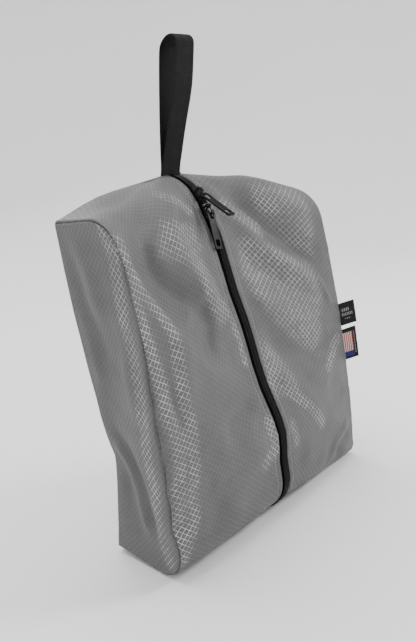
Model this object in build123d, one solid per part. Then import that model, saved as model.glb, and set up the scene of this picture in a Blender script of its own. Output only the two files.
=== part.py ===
"""Zippered shoe bag of ripstop fabric, standing on its base, in millimetres.

+X is the bag's right as its zipped front is looked at, -Y is the front, +Z is up. The model is drawn with the
zipper in the plane X = 0, and is written with its origin on the floor, under the middle of its overall box.
Two body panels, left and right of the zipper, each run from the back's top edge over the top, down the front
and under the base. Side gussets close the ends and a flat panel closes the back.
"""

import os
from math import asin, cos, degrees, hypot, radians, sin, sqrt

from build123d import *

# Bag
HALF_WIDTH = 153.0
BACK_Y = 44.0
FABRIC = 1.2
CROWN_X = 100.0
SEAM_ALLOWANCE = 10.0
BINDING = 1.8
BINDING_GAP = 2.0

# Zipper: the tape's middle plane is level 0, and levels grow outwards
TAPE_HALF_WIDTH = 14.0
TAPE_GAP = 0.9
TAPE_LEVEL = 0.4
COIL_GAP = 0.7
COIL_HALF_WIDTH = 4.2
COIL_LEVEL = 2.8
OPEN_HALF_WIDTH = 6.3
RUNNING_GAP = 0.3
STOP_LENGTH = 4.0
TOP_STOP_ANGLE, BOTTOM_STOP_ANGLE = 70.0, -62.0

# Sliders
SLIDER_HALF_LENGTH = 8.5
SLIDER_HALF_WIDTH = 5.7
SLIDER_PLATE = 1.4
SLIDER_TOP_LEVEL = COIL_LEVEL + RUNNING_GAP
SLIDER_FLOOR_LEVEL = -TAPE_LEVEL - 1.0
POST_HALF_WIDTH = COIL_GAP - RUNNING_GAP
POST_LENGTH = 4.0
BAIL_HALF_WIDTH = 1.5
BAIL_TOP_LEVEL = 11.0
BAIL_STRAP = 1.4
BAIL_TAIL, BAIL_HEAD = -5.0, 7.0
SLIDER_SPACING = 10.5
UPPER_TRAVEL, LOWER_TRAVEL = 26.0, 20.5

# Pulls, measured from the bar that hangs in the bail
PULL_BAR_RADIUS = 0.9
PULL_BAR_ALONG = 3.0
PULL_BAR_LEVEL = 8.0
PULL_LENGTH = 46.0
PULL_HALF_WIDTH = 4.6
PULL_EDGE = 0.25
EYE_OUTSIDE = ((3.2, -0.9), (5.7, 6.5), (PULL_HALF_WIDTH, 15.5))
EYE_INSIDE = ((2.2, 0.9), (3.9, 6.5), (1.9, 13.2))
PULL_PANEL_START, PULL_PANEL_END, PULL_PANEL_DEPTH = 17.5, 33.0, 0.3
PULL_HOLE_START, PULL_HOLE_END, PULL_HOLE_HALF_WIDTH = 35.0, 43.4, 2.9
UPPER_PULL_SWING, LOWER_PULL_SWING = 56.0, 16.2
LOWER_PULL_SWAY = -9.0

# Carrying loop
WEBBING_WIDTH = 26.0
WEBBING = 1.5
LOOP_LEAN = 16.0
LOOP_CROWN_RADIUS = 14.5
LOOP_LENGTH = 145.0
LOOP_SEWN = 8.0
LOOP_HINGE = (0.0, 42.4, 379.0)
TAIL_BOTTOM = 352.0
TAIL_THICKNESS = 3.0
TAIL_CLEARANCE = 1.3

# Labels, caught in the right front seam: height of the lower edge, height, and how far they stand out
LABEL_THICKNESS = 1.0
LABEL_CLEARANCE = 0.6
LABELS = {"label_upper": (165.0, 27.0, 19.0), "label_lower": (122.0, 38.0, 16.5)}
LABEL_DIRECTION = Vector(0.72, -0.694, 0)

SIDES = {"left": -1, "right": 1}


class Profile:
    """The bag's outline at one X: top line, top corner arc, front arc, bottom corner arc and base line."""

    def __init__(self, top, top_radius, front, front_radius, bottom_radius, base_z):
        """top is the back's height and the top line's slope; front is where the front stands furthest out."""
        self.top_radius, self.front_radius, self.bottom_radius = top_radius, front_radius, bottom_radius
        top_z, top_slope = top
        front_y, front_z = front
        self.front_centre = (front_y + front_radius, front_z)
        slope = radians(top_slope)
        self.top_normal = (-sin(slope), cos(slope))
        ahead = (-cos(slope), -sin(slope))
        start = (BACK_Y - top_radius * self.top_normal[0], top_z - top_radius * self.top_normal[1])
        gap = (start[0] - self.front_centre[0], start[1] - self.front_centre[1])
        reach = front_radius - top_radius
        along = gap[0] * ahead[0] + gap[1] * ahead[1]
        run = -along + sqrt(along**2 - (gap[0] ** 2 + gap[1] ** 2 - reach**2))
        self.top_centre = (start[0] + run * ahead[0], start[1] + run * ahead[1])
        low_z = base_z + bottom_radius
        reach = front_radius - bottom_radius
        self.bottom_centre = (self.front_centre[0] - sqrt(reach**2 - (low_z - front_z) ** 2), low_z)
        self.top_end = self.angle_from_front_centre(self.top_centre)
        self.bottom_end = self.angle_from_front_centre(self.bottom_centre)
        self.top_start = 90.0 - top_slope

    def angle_from_front_centre(self, point):
        """Degrees above the forward direction, seen from the front arc's centre."""
        gap = (point[0] - self.front_centre[0], point[1] - self.front_centre[1])
        return degrees(asin(gap[1] / hypot(*gap)))

    @staticmethod
    def on_arc(centre, radius, angle):
        return (centre[0] - radius * cos(radians(angle)), centre[1] + radius * sin(radians(angle)))

    def point_on_top(self, angle, level=0.0):
        return self.on_arc(self.top_centre, self.top_radius + level, angle)

    def point_on_front(self, angle, level=0.0):
        return self.on_arc(self.front_centre, self.front_radius + level, angle)

    def point_on_bottom(self, angle, level=0.0):
        return self.on_arc(self.bottom_centre, self.bottom_radius + level, angle)

    def front_y_at(self, z):
        return self.front_centre[0] - sqrt(self.front_radius**2 - (z - self.front_centre[1]) ** 2)

    def edges(self, x, level, back_y=BACK_Y):
        """The outline's five edges, moved outwards by level, from the back's top to the back's bottom."""
        top = self.point_on_top(self.top_start, level)
        rise = self.top_normal[0] / self.top_normal[1]
        start = (back_y, top[1] - (back_y - top[0]) * rise)
        middle = (self.top_start + self.top_end) / 2
        front = self.point_on_front(self.top_end, level)
        half = (self.top_end + self.bottom_end) / 2
        low = self.point_on_front(self.bottom_end, level)
        base = self.point_on_bottom(-90.0, level)

        def place(point):
            return (x, point[0], point[1])

        return [
            Edge.make_line(place(start), place(top)),
            Edge.make_three_point_arc(place(top), place(self.point_on_top(middle, level)), place(front)),
            Edge.make_three_point_arc(place(front), place(self.point_on_front(half, level)), place(low)),
            Edge.make_three_point_arc(
                place(low), place(self.point_on_bottom((self.bottom_end - 90.0) / 2, level)), place(base)
            ),
            Edge.make_line(place(base), place((back_y, base[1]))),
        ]

    def band(self, x, inner, outer):
        """A closed wire between two levels, open at the back."""
        out, back_in = self.edges(x, outer), self.edges(x, inner)
        caps = [
            Edge.make_line(out[-1] @ 1, back_in[-1] @ 1),
            Edge.make_line(back_in[0] @ 0, out[0] @ 0),
        ]
        return Wire([*out, caps[0], *back_in, caps[1]])

    def ring(self, x, level, back_y):
        """A closed wire along the outline and up the back."""
        run = self.edges(x, level, back_y)
        return Wire([*run, Edge.make_line(run[-1] @ 1, run[0] @ 0)])


# Outlines at the zipper, part way out and at the two gussets
ZIPPER = Profile((373.0, 12.0), 58.0, (-62.5, 28.0), 790.0, 40.0, 3.0)
LEFT_CROWN = Profile((364.0, 7.0), 50.0, (-67.0, 90.0), 900.0, 38.0, -0.6)
RIGHT_CROWN = Profile((362.0, 9.0), 50.0, (-55.0, 80.0), 1000.0, 26.0, -0.6)
LEFT_END = Profile((345.0, 1.5), 46.0, (-69.0, 150.0), 1200.0, 40.0, -0.6)
RIGHT_END = Profile((343.0, 4.0), 46.0, (-49.0, 115.0), 1600.0, 16.0, -0.6)
PANEL_LEVEL = TAPE_LEVEL + FABRIC



def floor():
    """What lies under the base plane, to be cut away."""
    return Pos(0, 0, -25) * Box(500, 300, 50)


def webbing_slot():
    """The gap in the back's top seam that the loop's tails come out of."""
    depth = BACK_Y - LOOP_HINGE[1] + TAIL_THICKNESS / 2 + RUNNING_GAP
    return Pos(0, BACK_Y - depth / 2, TAIL_BOTTOM) * Box(WEBBING_WIDTH + 2 * RUNNING_GAP, depth, 60)


def body_panel(side, crown, end):
    """One half of the wrap, from the zipper out to its gusset."""
    sections = [
        ZIPPER.band(side * OPEN_HALF_WIDTH, TAPE_LEVEL, PANEL_LEVEL),
        ZIPPER.band(side * TAPE_HALF_WIDTH, TAPE_LEVEL, PANEL_LEVEL),
        crown.band(side * CROWN_X, -FABRIC, 0.0),
        end.band(side * (HALF_WIDTH - FABRIC), -FABRIC, 0.0),
    ]
    return Solid.make_loft(sections, ruled=True) - floor() - webbing_slot()


def gusset(side, end):
    x = side * (HALF_WIDTH - FABRIC)
    return Solid.extrude(Face(end.ring(x, 0.0, BACK_Y)), Vector(side * FABRIC, 0, 0)) - floor()


def seam_binding(side, end):
    """Folded tape round the gusset's seam allowance, inside the bag."""
    x = side * (HALF_WIDTH - FABRIC - 0.1)
    level = -FABRIC - BINDING_GAP
    outer = Face(end.ring(x, level, BACK_Y - BINDING_GAP))
    inner = Face(end.ring(x, level - SEAM_ALLOWANCE, BACK_Y - BINDING_GAP - SEAM_ALLOWANCE))
    return Solid.extrude(outer - inner, Vector(-side * BINDING, 0, 0))


def top_edge(side, drop):
    """One half of the back's top edge, from the zipper out, lowered by drop."""
    crown, end = (LEFT_CROWN, LEFT_END) if side < 0 else (RIGHT_CROWN, RIGHT_END)
    line = ((TAPE_HALF_WIDTH, ZIPPER, PANEL_LEVEL), (CROWN_X, crown, 0.0), (HALF_WIDTH, end, 0.0))
    return [(side * x, (profile.edges(0, level)[0] @ 0).Z - drop) for x, profile, level in line]


def back_plate(points, y, thickness):
    """A flat piece in the back's plane."""
    face = Face(Wire.make_polygon([(x, y, z) for x, z in points], close=True))
    return Solid.extrude(face, Vector(0, thickness, 0))


def back_panel():
    top = [*reversed(top_edge(-1, 0.0)), *top_edge(1, 0.0)]
    return back_plate([*top, (HALF_WIDTH, 0.0), (-HALF_WIDTH, 0.0)], BACK_Y, FABRIC)


def back_binding_top(side):
    """Tape under the back's top seam, on one side of the loop's tails."""
    near, crown, end = top_edge(side, FABRIC + BINDING_GAP)
    start = side * (WEBBING_WIDTH / 2 + BINDING_GAP)
    stop = side * (HALF_WIDTH - FABRIC - BINDING - BINDING_GAP)
    slope = (end[1] - crown[1]) / (end[0] - crown[0])
    upper = [(start, near[1]), crown, (stop, crown[1] + slope * (stop - crown[0]))]
    lower = [(x, z - SEAM_ALLOWANCE) for x, z in reversed(upper)]
    return back_plate([*upper, *lower], BACK_Y - BINDING - 0.1, BINDING)


def back_binding_bottom(side):
    """Tape over the back's bottom seam, on one side of the zipper."""
    start = side * (TAPE_HALF_WIDTH + BINDING_GAP)
    stop = side * (HALF_WIDTH - FABRIC - BINDING - BINDING_GAP)
    low = 2 * FABRIC + BINDING_GAP
    high = low + SEAM_ALLOWANCE
    corners = [(start, low), (stop, low), (stop, high), (start, high)]
    return back_plate(corners, BACK_Y - BINDING - 0.1, BINDING)


def zipper_strip(side, gap, half_width, inner, outer):
    """Tape or coil, along the whole of the zipper's path, on one side of the middle."""
    face = Face(ZIPPER.band(side * gap, inner, outer))
    return Solid.extrude(face, Vector(side * (half_width - gap), 0, 0)) - webbing_slot()


def end_stop(centre, radius, angle, way):
    """A moulded stop on both coils, from an angle of a corner arc on, upwards or downwards."""
    half = COIL_HALF_WIDTH + 0.6
    turn = way * degrees(STOP_LENGTH / radius)
    low, high = radius + COIL_LEVEL + 0.1, radius + COIL_LEVEL + 1.3
    corners = []
    for r, a in ((low, 0), (high, 0), (high, turn), (low, turn)):
        y, z = Profile.on_arc(centre, r, angle + a)
        corners.append((-half, y, z))
    return Solid.extrude(Face(Wire.make_polygon(corners, close=True)), Vector(2 * half, 0, 0))


def box_between(x, along, level):
    """A box in slider space, where X is across, Z is along the chain and -Y is outwards."""
    centre = ((x[0] + x[1]) / 2, -(level[0] + level[1]) / 2, (along[0] + along[1]) / 2)
    return Pos(*centre) * Box(x[1] - x[0], level[1] - level[0], along[1] - along[0])


def slider_body():
    """Top plate with side lips, bottom plate, and the post between the coils. The head is at +Z."""
    width, length = SLIDER_HALF_WIDTH, SLIDER_HALF_LENGTH
    roof = SLIDER_TOP_LEVEL + SLIDER_PLATE
    floor_level = SLIDER_FLOOR_LEVEL - SLIDER_PLATE
    top = box_between((-width, width), (-length, length), (TAPE_LEVEL + RUNNING_GAP, roof))
    lip = COIL_HALF_WIDTH + RUNNING_GAP
    top -= box_between((-lip, lip), (-length - 1, length + 1), (0, SLIDER_TOP_LEVEL))
    bottom = box_between((-width, width), (-length, length), (floor_level, SLIDER_FLOOR_LEVEL))
    corners = (top + bottom).edges().filter_by(Axis.Y)
    outer = [e for e in corners if abs(e.center().X) > width - 0.1]
    shaped = fillet(outer, 2.6)
    post_along = (length - POST_LENGTH - 1, length - 1)
    post = box_between((-POST_HALF_WIDTH, POST_HALF_WIDTH), post_along, (floor_level + 0.2, roof - 0.2))
    return shaped + post


def bail():
    """The arched strap that carries the pull."""
    roof = SLIDER_TOP_LEVEL + SLIDER_PLATE
    outer = box_between((-BAIL_HALF_WIDTH, BAIL_HALF_WIDTH), (BAIL_TAIL, BAIL_HEAD), (roof, BAIL_TOP_LEVEL))
    outer = fillet([e for e in outer.edges().filter_by(Axis.X) if e.center().Y < -BAIL_TOP_LEVEL + 0.1], 4.0)
    inner = box_between(
        (-BAIL_HALF_WIDTH - 1, BAIL_HALF_WIDTH + 1),
        (BAIL_TAIL + BAIL_STRAP, BAIL_HEAD - BAIL_STRAP),
        (roof - 1, BAIL_TOP_LEVEL - BAIL_STRAP),
    )
    inner = fillet([e for e in inner.edges().filter_by(Axis.X) if e.center().Y < -roof - 1], 2.6)
    return outer - inner


def plate(half_outline, radius, half_thickness):
    """A flat plate in the XZ plane, hanging down -Z, from the right half of its outline."""
    right = [(x, 0.0, -z) for x, z in half_outline]
    left = [(-x, y, z) for x, y, z in reversed(right)]
    solid = Solid.extrude(Face(Wire.make_polygon([*right, *left])), Vector(0, 2 * half_thickness, 0))
    return fillet((Pos(0, -half_thickness, 0) * solid).edges().filter_by(Axis.Y), radius)


def pull(sway):
    """A flat pull: its bar is on the X axis, and the rest of it hangs down -Z, swung sideways by sway."""
    half = PULL_BAR_RADIUS
    outline = [*EYE_OUTSIDE, (PULL_HALF_WIDTH, PULL_LENGTH)]
    sheet = plate(outline, 1.5, half)
    rim = [e for e in sheet.edges() if abs(abs(e.center().Y) - half) < 0.01]
    sheet = fillet(rim, PULL_EDGE)
    sheet -= plate(EYE_INSIDE, 0.7, 2 * half)
    hole_outline = [(PULL_HOLE_HALF_WIDTH, PULL_HOLE_START), (PULL_HOLE_HALF_WIDTH, PULL_HOLE_END)]
    sheet -= plate(hole_outline, PULL_HOLE_HALF_WIDTH - 0.1, 2 * half)
    panel_width = PULL_HALF_WIDTH - 1.4
    panel = plate([(panel_width, PULL_PANEL_START), (panel_width, PULL_PANEL_END)], 1.2, half)
    for side in (-1, 1):
        sheet -= Pos(0, side * (2 * half - PULL_PANEL_DEPTH), 0) * panel
    bar = Rot(0, 90, 0) * Cylinder(half, 2 * EYE_OUTSIDE[0][0])
    return Rot(0, -sway, 0) * sheet + bar


def slider_places():
    """Slider space placed on the zipper's path, head to head, above and below where its two arcs meet."""
    upper_angle = ZIPPER.top_end + degrees(SLIDER_SPACING / ZIPPER.top_radius)
    lower_angle = ZIPPER.top_end - degrees(SLIDER_SPACING / ZIPPER.front_radius)
    upper = Pos(0, *ZIPPER.point_on_top(upper_angle)) * Rot(-upper_angle, 0, 0) * Rot(0, 180, 0)
    lower = Pos(0, *ZIPPER.point_on_front(lower_angle)) * Rot(-lower_angle, 0, 0)
    return {"upper": upper, "lower": lower}


def carrying_loop():
    """Webbing folded into a teardrop, leaning to the right, on its hinge line at the back's top seam."""
    lean = radians(LOOP_LEAN)
    up = Vector(sin(lean), 0, cos(lean))
    base = Vector(*LOOP_HINGE) - Vector(WEBBING_WIDTH / 2, 0, 0)

    def at(y, rise):
        return base + Vector(0, y, 0) + up * rise

    def teardrop(radius, foot, half_foot):
        """The outline of a round crown and two straight legs that come together at the foot."""
        centre = LOOP_LENGTH - LOOP_CROWN_RADIUS
        reach = hypot(centre - foot, half_foot)
        tilt = asin(radius / reach) - asin(half_foot / reach)
        y, rise = radius * cos(tilt), centre + radius * sin(tilt)
        arc = Edge.make_three_point_arc(at(-y, rise), at(0, centre + radius), at(y, rise))
        feet = [at(half_foot, foot), at(-half_foot, foot)]
        legs = [Edge.make_line(arc @ 1, feet[0]), Edge.make_line(feet[1], arc @ 0)]
        if half_foot > 0:
            legs.insert(1, Edge.make_line(*feet))
        return Face(Wire([arc, *legs]))

    outline = teardrop(LOOP_CROWN_RADIUS + WEBBING / 2, 0.0, WEBBING)
    gap = teardrop(LOOP_CROWN_RADIUS - WEBBING / 2, LOOP_SEWN, 0.0)
    strip = Solid.extrude(outline - gap, Vector(WEBBING_WIDTH, 0, 0))
    root_roll = Pos(*LOOP_HINGE) * Rot(0, 90, 0) * Cylinder(WEBBING, WEBBING_WIDTH)
    return strip + root_roll


def loop_tails():
    """The two sewn ends of the webbing, inside the bag under its hinge line."""
    top = LOOP_HINGE[2] - WEBBING - TAIL_CLEARANCE
    height = top - TAIL_BOTTOM
    return Pos(0, LOOP_HINGE[1], TAIL_BOTTOM + height / 2) * Box(WEBBING_WIDTH, TAIL_THICKNESS, height)


def label(low_z, height, reach):
    """A folded ribbon standing out of the right front seam."""
    side = Vector(LABEL_DIRECTION.Y, -LABEL_DIRECTION.X, 0) * (LABEL_THICKNESS / 2)
    middle = low_z + height / 2
    foot = Vector(HALF_WIDTH + LABEL_CLEARANCE, RIGHT_END.front_y_at(middle) - LABEL_CLEARANCE, middle)
    rise = Vector(0, 0, height / 2)
    out = LABEL_DIRECTION * reach
    corners = [foot - rise, foot - rise + out, foot + rise + out, foot + rise]
    return Solid.extrude(Face(Wire.make_polygon([p - side for p in corners])), side * 2)


def bag_parts():
    parts = {
        "body_panel_left": body_panel(-1, LEFT_CROWN, LEFT_END),
        "body_panel_right": body_panel(1, RIGHT_CROWN, RIGHT_END),
        "gusset_left": gusset(-1, LEFT_END),
        "gusset_right": gusset(1, RIGHT_END),
        "back_panel": back_panel(),
        "gusset_binding_left": seam_binding(-1, LEFT_END),
        "gusset_binding_right": seam_binding(1, RIGHT_END),
        "loop_tails": loop_tails(),
    }
    for name, side in SIDES.items():
        parts[f"back_binding_top_{name}"] = back_binding_top(side)
        parts[f"back_binding_bottom_{name}"] = back_binding_bottom(side)
    for name, sizes in LABELS.items():
        parts[name] = label(*sizes)
    return parts


def zipper_parts():
    parts = {}
    for name, side in SIDES.items():
        parts[f"zipper_tape_{name}"] = zipper_strip(side, TAPE_GAP, TAPE_HALF_WIDTH, -TAPE_LEVEL, TAPE_LEVEL)
        parts[f"zipper_coil_{name}"] = zipper_strip(side, COIL_GAP, COIL_HALF_WIDTH, TAPE_LEVEL, COIL_LEVEL)
    parts["zipper_stop_top"] = end_stop(ZIPPER.top_centre, ZIPPER.top_radius, TOP_STOP_ANGLE, 1)
    parts["zipper_stop_bottom"] = end_stop(ZIPPER.bottom_centre, ZIPPER.bottom_radius, BOTTOM_STOP_ANGLE, -1)
    return parts


def slider_parts():
    parts = {}
    swings = {"upper": (UPPER_PULL_SWING, 0.0), "lower": (LOWER_PULL_SWING, LOWER_PULL_SWAY)}
    for name, place in slider_places().items():
        swing, sway = swings[name]
        bar = place * Pos(0, -PULL_BAR_LEVEL, PULL_BAR_ALONG)
        parts[f"{name}_slider_body"] = place * slider_body()
        parts[f"{name}_slider_bail"] = place * bail()
        parts[f"{name}_pull"] = Pos(*bar.position) * Rot(-swing, 0, 0) * pull(sway)
        print(f"{name} pull bar", tuple(bar.position))
    return parts


def main():
    parts = {**bag_parts(), **zipper_parts(), **slider_parts(), "carrying_loop": carrying_loop()}
    box = Compound(list(parts.values())).bounding_box()
    middle = Vector(box.center().X, box.center().Y, 0)
    print("origin", tuple(middle), "overall", tuple(box.size))
    print("top arc centre", ZIPPER.top_centre, "front arc centre", ZIPPER.front_centre)
    os.makedirs("parts", exist_ok=True)
    for name, shape in parts.items():
        export_step(Pos(*-middle) * shape, f"parts/{name}.step")


main()
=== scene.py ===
import math

import bmesh
import bpy
import numpy as np
from mathutils import Matrix, Vector
from mathutils.geometry import delaunay_2d_cdt


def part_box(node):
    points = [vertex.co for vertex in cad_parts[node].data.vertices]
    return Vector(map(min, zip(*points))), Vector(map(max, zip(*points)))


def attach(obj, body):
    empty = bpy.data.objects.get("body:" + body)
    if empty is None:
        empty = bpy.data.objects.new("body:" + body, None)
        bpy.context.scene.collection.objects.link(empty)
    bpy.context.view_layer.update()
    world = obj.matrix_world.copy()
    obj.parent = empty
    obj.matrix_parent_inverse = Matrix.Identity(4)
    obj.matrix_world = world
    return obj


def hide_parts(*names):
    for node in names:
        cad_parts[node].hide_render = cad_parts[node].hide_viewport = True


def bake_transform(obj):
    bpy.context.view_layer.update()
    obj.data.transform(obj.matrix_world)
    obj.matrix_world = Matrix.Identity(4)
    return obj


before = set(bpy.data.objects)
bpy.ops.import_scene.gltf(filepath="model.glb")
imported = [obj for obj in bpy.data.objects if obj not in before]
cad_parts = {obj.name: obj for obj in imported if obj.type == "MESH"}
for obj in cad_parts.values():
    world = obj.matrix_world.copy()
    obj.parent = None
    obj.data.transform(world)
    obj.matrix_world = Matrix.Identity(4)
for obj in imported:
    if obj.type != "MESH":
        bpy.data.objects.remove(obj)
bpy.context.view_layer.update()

# The bag is drawn in millimetres, with the zipper in the plane X = 0 and the back at Y = BACK_Y, and then
# moved to where the frame has it. Distances called x are measured from the zipper, on either side.
BACK_Y = 44.0
HALF_WIDTH = 153.0
CROWN_X = 100.0
TAPE_X = 14.0
HEM_X = 6.3
HEM_LEVEL = 1.6
STITCH_X = 12.6
SEAM = 2.6
EASE = 7.0
CLOTH_THICKNESS = 0.45
SHIFT = np.array([
    500 * (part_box("zipper_tape_left")[1].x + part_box("zipper_tape_right")[0].x),
    1000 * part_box("back_panel")[0].y - BACK_Y,
    0.0,
])
SIDES = {"left": -1, "right": 1}


# ---- shapes of numbers


def smooth(a, b, x):
    """0 below a, 1 above b, and a smooth step between."""
    k = np.clip((x - a) / (b - a), 0, 1)
    return k * k * (3 - 2 * k)


def bump(x, centre, width):
    return np.exp(-(((x - centre) / width) ** 2))


def noise(x, y, scale, seed):
    """Smooth noise between about -1 and 1, from random values on a square lattice."""
    values = np.random.default_rng(seed).uniform(-1, 1, (64, 64))
    x, y = np.asarray(x, float) / scale + 640, np.asarray(y, float) / scale + 640
    i, j = np.floor(x).astype(int), np.floor(y).astype(int)
    u, v = x - i, y - j
    u, v = u * u * (3 - 2 * u), v * v * (3 - 2 * v)

    def corner(a, b):
        return values[(i + a) % 64, (j + b) % 64]

    low = corner(0, 0) * (1 - u) + corner(1, 0) * u
    high = corner(0, 1) * (1 - u) + corner(1, 1) * u
    return low * (1 - v) + high * v


def unit(vectors):
    """Each row scaled to length 1."""
    return vectors / np.maximum(np.linalg.norm(vectors, axis=1, keepdims=True), 1e-6)


def spaced(points, gap):
    """Indices of the points that are at least gap from the last one kept."""
    keep = [0]
    for n in range(1, len(points)):
        if np.hypot(*(points[n] - points[keep[-1]])) > gap:
            keep.append(n)
    return keep


def bezier(points, k):
    a, b, c, d = points
    return a * (1 - k) ** 3 + 3 * b * k * (1 - k) ** 2 + 3 * c * k**2 * (1 - k) + d * k**3


def along_line(x, z, line):
    """Signed distance from a line of points (positive on its right), and how far along it, from 0 to 1."""
    line = np.array(line, float)
    steps = np.diff(line, axis=0)
    lengths = np.hypot(steps[:, 0], steps[:, 1])
    best = np.full(np.shape(x), 1e9)
    signed, where = np.zeros(np.shape(x)), np.zeros(np.shape(x))
    passed = 0.0
    for start, step, length in zip(line[:-1], steps, lengths):
        k = np.clip(((x - start[0]) * step[0] + (z - start[1]) * step[1]) / length**2, 0, 1)
        dx, dz = x - start[0] - k * step[0], z - start[1] - k * step[1]
        distance = np.hypot(dx, dz)
        nearer = distance < best
        signed = np.where(nearer, np.where(dx * step[1] - dz * step[0] > 0, distance, -distance), signed)
        where = np.where(nearer, (passed + k * length) / lengths.sum(), where)
        best = np.minimum(best, distance)
        passed += length
    return signed, where


def fold(x, z, line, height, left, right, ends=0.28):
    """A rounded ridge or valley along a line, fading out at its ends."""
    signed, where = along_line(x, z, line)
    reach = np.where(signed > 0, right, left)
    fade = smooth(-0.02, ends, where) * smooth(-0.02, ends, 1 - where)
    return height * np.exp(-((signed / reach) ** 2)) * fade


# ---- the bag's outline


class Profile:
    """The bag's outline at one X: top line, top corner arc, front arc, bottom corner arc and base line."""

    COUNTS = (12, 30, 124, 30, 22)

    def __init__(self, top, top_radius, front, front_radius, bottom_radius, base_z):
        slope = math.radians(top[1])
        up = np.array([-math.sin(slope), math.cos(slope)])
        ahead = np.array([-math.cos(slope), -math.sin(slope)])
        self.front_centre = np.array([front[0] + front_radius, front[1]])
        start = np.array([BACK_Y, top[0]]) - top_radius * up
        gap = start - self.front_centre
        along = gap @ ahead
        run = -along + math.sqrt(along**2 - gap @ gap + (front_radius - top_radius) ** 2)
        self.top_centre = start + ahead * run
        low = base_z + bottom_radius
        reach = math.sqrt((front_radius - bottom_radius) ** 2 - (low - front[1]) ** 2)
        self.bottom_centre = np.array([self.front_centre[0] - reach, low])
        radii = (top_radius, front_radius, bottom_radius)
        self.points, self.normals = self.samples(top, radii, base_z)

    def angle(self, point):
        gap = point - self.front_centre
        return math.degrees(math.asin(gap[1] / math.hypot(*gap)))

    def samples(self, top, radii, base_z):
        """Points (Y, Z) and outward normals, the same number for every profile."""
        counts = self.COUNTS
        first, second = self.angle(self.top_centre), self.angle(self.bottom_centre)
        points, normals = [], []

        def arc(centre, radius, start, end, count):
            for angle in np.radians(np.linspace(start, end, count, endpoint=False)):
                normal = np.array([-math.cos(angle), math.sin(angle)])
                points.append(centre + radius * normal)
                normals.append(normal)

        def line(start, end, normal, count, ending):
            for k in np.linspace(0, 1, count, endpoint=ending):
                points.append(start + (end - start) * k)
                normals.append(normal)

        up = np.array([-math.sin(math.radians(top[1])), math.cos(math.radians(top[1]))])
        line(np.array([BACK_Y, top[0]]), self.top_centre + radii[0] * up, up, counts[0], False)
        arc(self.top_centre, radii[0], 90.0 - top[1], first, counts[1])
        arc(self.front_centre, radii[1], first, second, counts[2])
        arc(self.bottom_centre, radii[2], second, -90.0, counts[3])
        down = np.array([0.0, -1.0])
        line(self.bottom_centre + radii[2] * down, np.array([BACK_Y, base_z]), down, counts[4], True)
        return np.array(points), np.array(normals)


ZIPPER = Profile((373.0, 12.0), 58.0, (-62.5, 28.0), 790.0, 40.0, 3.0)
CROWNS = {
    -1: Profile((364.0, 7.0), 50.0, (-67.0, 90.0), 900.0, 38.0, 0.0),
    1: Profile((362.0, 9.0), 50.0, (-55.0, 80.0), 1000.0, 26.0, 0.0),
}
ENDS = {
    -1: Profile((345.0, 1.5), 46.0, (-69.0, 150.0), 1200.0, 40.0, 0.0),
    1: Profile((343.0, 4.0), 46.0, (-49.0, 115.0), 1600.0, 16.0, 0.0),
}


def ruled(side, x):
    if x < CROWN_X:
        start, end, k = ZIPPER, CROWNS[side], max(0.0, (x - TAPE_X) / (CROWN_X - TAPE_X))
    else:
        start, end, k = CROWNS[side], ENDS[side], (x - CROWN_X) / (HALF_WIDTH - CROWN_X)
    return [a + (b - a) * k for a, b in ((start.points, end.points), (start.normals, end.normals))]


def outline(side, x):
    """The outline's points and normals at distance x from the zipper, with the crease at the crown eased."""
    reach = min(20.0, max(0.0, x - TAPE_X) * 0.6, HALF_WIDTH - x)
    near, middle, far = ruled(side, x - reach), ruled(side, x), ruled(side, x + reach)
    points = (near[0] + 2 * middle[0] + far[0]) / 4
    normals = unit(near[1] + 2 * middle[1] + far[1])
    return points + normals * HEM_LEVEL * (1 - smooth(TAPE_X, CROWN_X, x)), normals


def run_along(points):
    return np.concatenate([[0], np.cumsum(np.linalg.norm(np.diff(points, axis=0), axis=1))])


# ---- folds, sag and shine

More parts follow.
